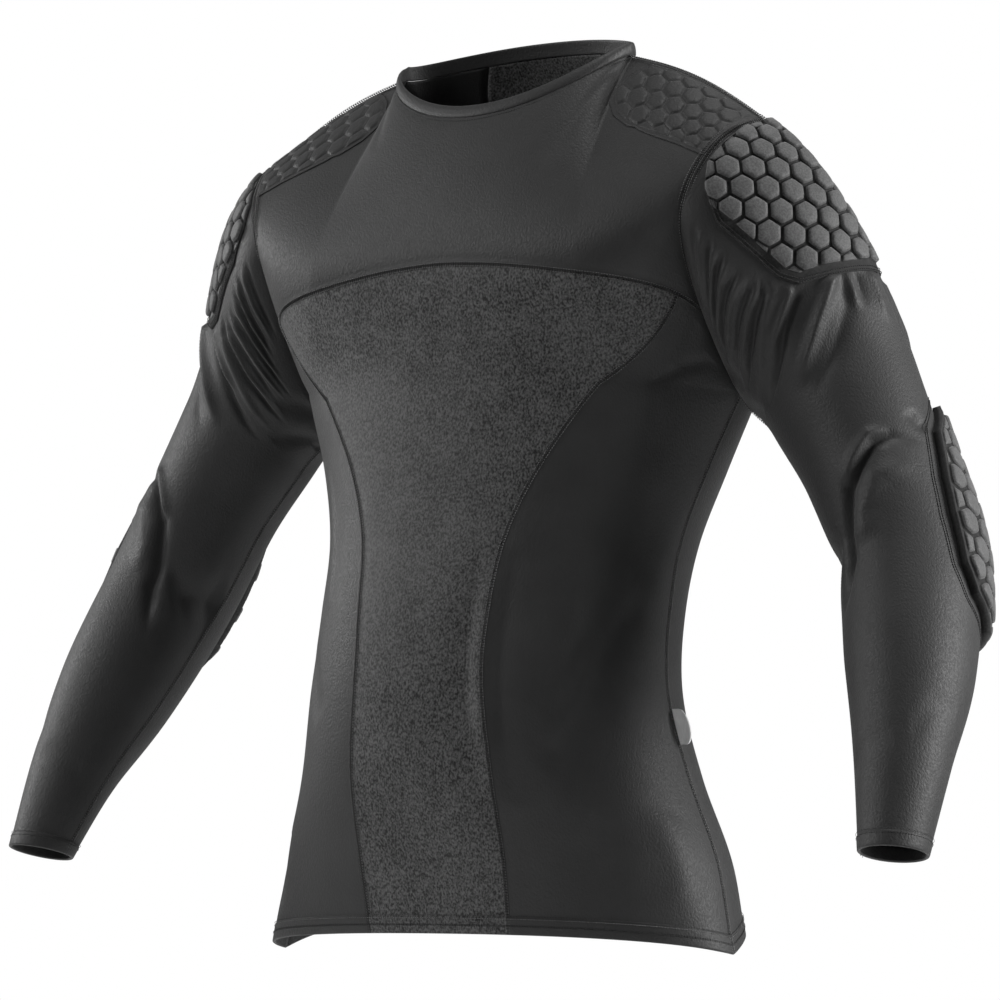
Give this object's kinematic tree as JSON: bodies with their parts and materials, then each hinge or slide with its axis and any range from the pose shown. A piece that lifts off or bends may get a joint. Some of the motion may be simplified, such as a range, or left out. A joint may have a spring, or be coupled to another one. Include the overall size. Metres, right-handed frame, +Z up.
{
  "type": "padded compression shirt",
  "caption": "Long-sleeved compression shirt, filled out as worn, with hexagon-celled pads on shoulders, sleeve caps and elbows.",
  "frame": {"origin": "middle of the neck opening, at about the height of the neck points, where a wearer or a hanger holds the shirt", "axes": "+Z up, the front faces -Y, and the left sleeve, as worn, is on +X"},
  "size_m": [0.863, 0.2967, 0.7549],
  "materials": {
    "smooth_knit": "matte stretch knit with a slight sheen",
    "heather_knit": "grainy heathered stretch knit",
    "band_knit": "smooth folded knit band",
    "shoulder_foam": "knit over moulded hexagon foam cells",
    "pad_foam": "brushed cover over moulded hexagon foam cells",
    "label_tape": "plain woven tape"
  },
  "bodies": {
    "root": {"front_yoke": "smooth_knit", "front_centre": "heather_knit", "side_left": "smooth_knit", "side_right": "smooth_knit", "back_centre": "heather_knit", "back_side_left": "smooth_knit", "back_side_right": "smooth_knit", "neckband": "band_knit", "sleeve_left_front": "smooth_knit", "sleeve_left_back": "smooth_knit", "sleeve_right_front": "smooth_knit", "sleeve_right_back": "smooth_knit", "shoulder_pad_left": "shoulder_foam", "shoulder_pad_right": "shoulder_foam", "shoulder_pad_back_left": "shoulder_foam", "shoulder_pad_back_right": "shoulder_foam", "cap_pad_left": "pad_foam", "cap_pad_right": "pad_foam", "elbow_pad_left": "pad_foam", "elbow_pad_right": "pad_foam", "care_label": "label_tape"}
  },
  "joints": []
}
